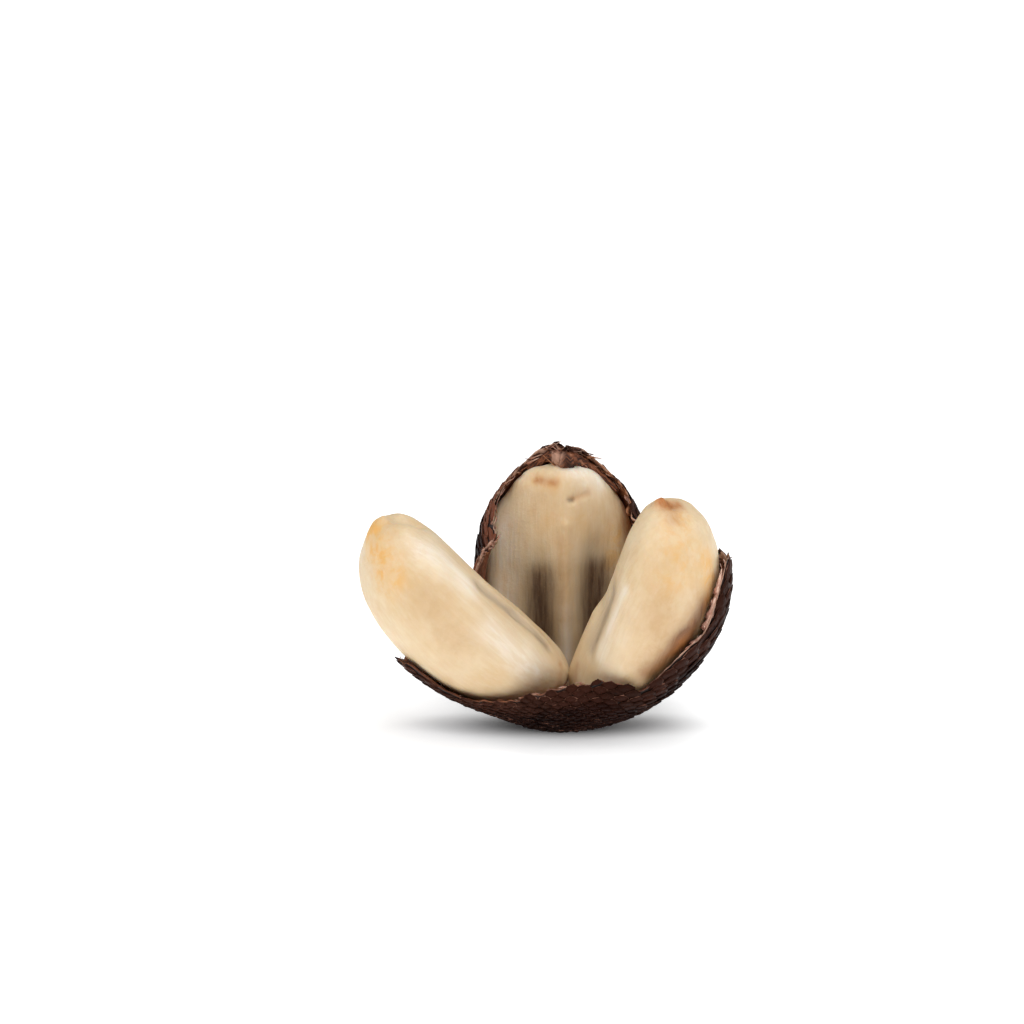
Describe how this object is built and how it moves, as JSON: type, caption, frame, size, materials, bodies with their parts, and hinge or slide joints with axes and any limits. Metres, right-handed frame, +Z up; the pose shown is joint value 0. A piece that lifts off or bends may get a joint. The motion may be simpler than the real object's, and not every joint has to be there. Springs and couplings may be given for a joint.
{
  "type": "snake fruit",
  "caption": "Opened snake fruit: pale flesh segments parted in a torn cup of dark overlapping scales, one flap standing up behind them.",
  "frame": {"origin": "centre of the small flat spot under the peel on which the fruit rests", "axes": "+Z up from the rest spot, +X from the left segment to the right one, -Y to the open front"},
  "size_m": [0.0783, 0.0664, 0.0585],
  "materials": {
    "peel": "dry scaly skin, dark brown and satin outside, pale and fibrous inside",
    "flesh": "moist cream flesh with a soft sheen and yellow tips"
  },
  "bodies": {
    "root": {"peel": "peel", "segment_left": "flesh", "segment_right": "flesh", "segment_back": "flesh"}
  },
  "joints": []
}
